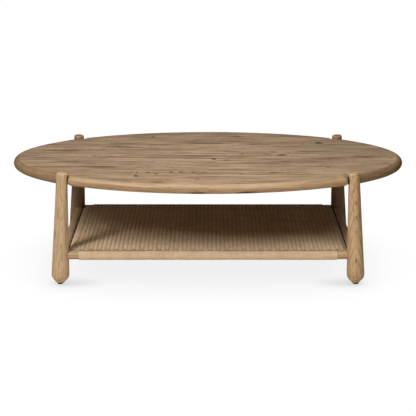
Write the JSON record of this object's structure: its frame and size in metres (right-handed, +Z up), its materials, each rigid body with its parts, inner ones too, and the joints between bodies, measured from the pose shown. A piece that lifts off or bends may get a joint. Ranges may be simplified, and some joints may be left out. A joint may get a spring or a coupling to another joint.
{
  "type": "oval coffee table",
  "caption": "Low oval oak table on turned, slightly splayed legs let into the rim, with round rails carrying a woven paper-cord shelf and screw-in levelling glides.",
  "frame": {"origin": "on the floor, under the middle of the top", "axes": "+X along the long axis of the oval, +Y towards the back, away from the viewer of the picture, +Z up"},
  "size_m": [1.524, 0.864, 0.4342],
  "materials": {
    "oak": "natural oak, matt lacquer",
    "oak_rim": "natural oak, matt lacquer",
    "oak_veneer": "greyed oak veneer, matt lacquer",
    "core_board": "raw laminated board",
    "paper_cord": "twisted kraft paper cord, unbleached",
    "black_nylon": "moulded, matt",
    "zinc_steel": "zinc plated"
  },
  "bodies": {
    "table": {"leg_front_left": "oak", "leg_front_right": "oak", "leg_back_right": "oak", "leg_back_left": "oak", "rail_front": "oak", "rail_back": "oak", "rail_left": "oak", "rail_right": "oak", "rim_front_left": "oak_rim", "rim_front_right": "oak_rim", "rim_right": "oak_rim", "rim_back_right": "oak_rim", "rim_back_left": "oak_rim", "rim_left": "oak_rim", "top_face_veneer": "oak_veneer", "top_backing_veneer": "oak_veneer", "top_core": "core_board", "cord_wrap_front": "paper_cord", "cord_wrap_back": "paper_cord", "woven_shelf": "paper_cord", "glide_insert_front_left": "zinc_steel", "glide_insert_front_right": "zinc_steel", "glide_insert_back_right": "zinc_steel", "glide_insert_back_left": "zinc_steel", "joint_bolt_front_left": "zinc_steel", "joint_bolt_front_right": "zinc_steel", "joint_bolt_back_right": "zinc_steel", "joint_bolt_back_left": "zinc_steel", "joint_washer_front_left": "zinc_steel", "joint_washer_front_right": "zinc_steel", "joint_washer_back_right": "zinc_steel", "joint_washer_back_left": "zinc_steel", "joint_nut_front_left": "zinc_steel", "joint_nut_front_right": "zinc_steel", "joint_nut_back_right": "zinc_steel", "joint_nut_back_left": "zinc_steel"},
    "glide_front_left": {"glide_front_left": "black_nylon"},
    "glide_front_right": {"glide_front_right": "black_nylon"},
    "glide_back_right": {"glide_back_right": "black_nylon"},
    "glide_back_left": {"glide_back_left": "black_nylon"}
  },
  "joints": [
    {"name": "level_front_left", "type": "slide", "parent": "table", "child": "glide_front_left", "axis": [0, 0, -1], "range_m": [0, 0.01]},
    {"name": "level_front_right", "type": "slide", "parent": "table", "child": "glide_front_right", "axis": [0, 0, -1], "range_m": [0, 0.01]},
    {"name": "level_back_right", "type": "slide", "parent": "table", "child": "glide_back_right", "axis": [0, 0, -1], "range_m": [0, 0.01]},
    {"name": "level_back_left", "type": "slide", "parent": "table", "child": "glide_back_left", "axis": [0, 0, -1], "range_m": [0, 0.01]}
  ]
}
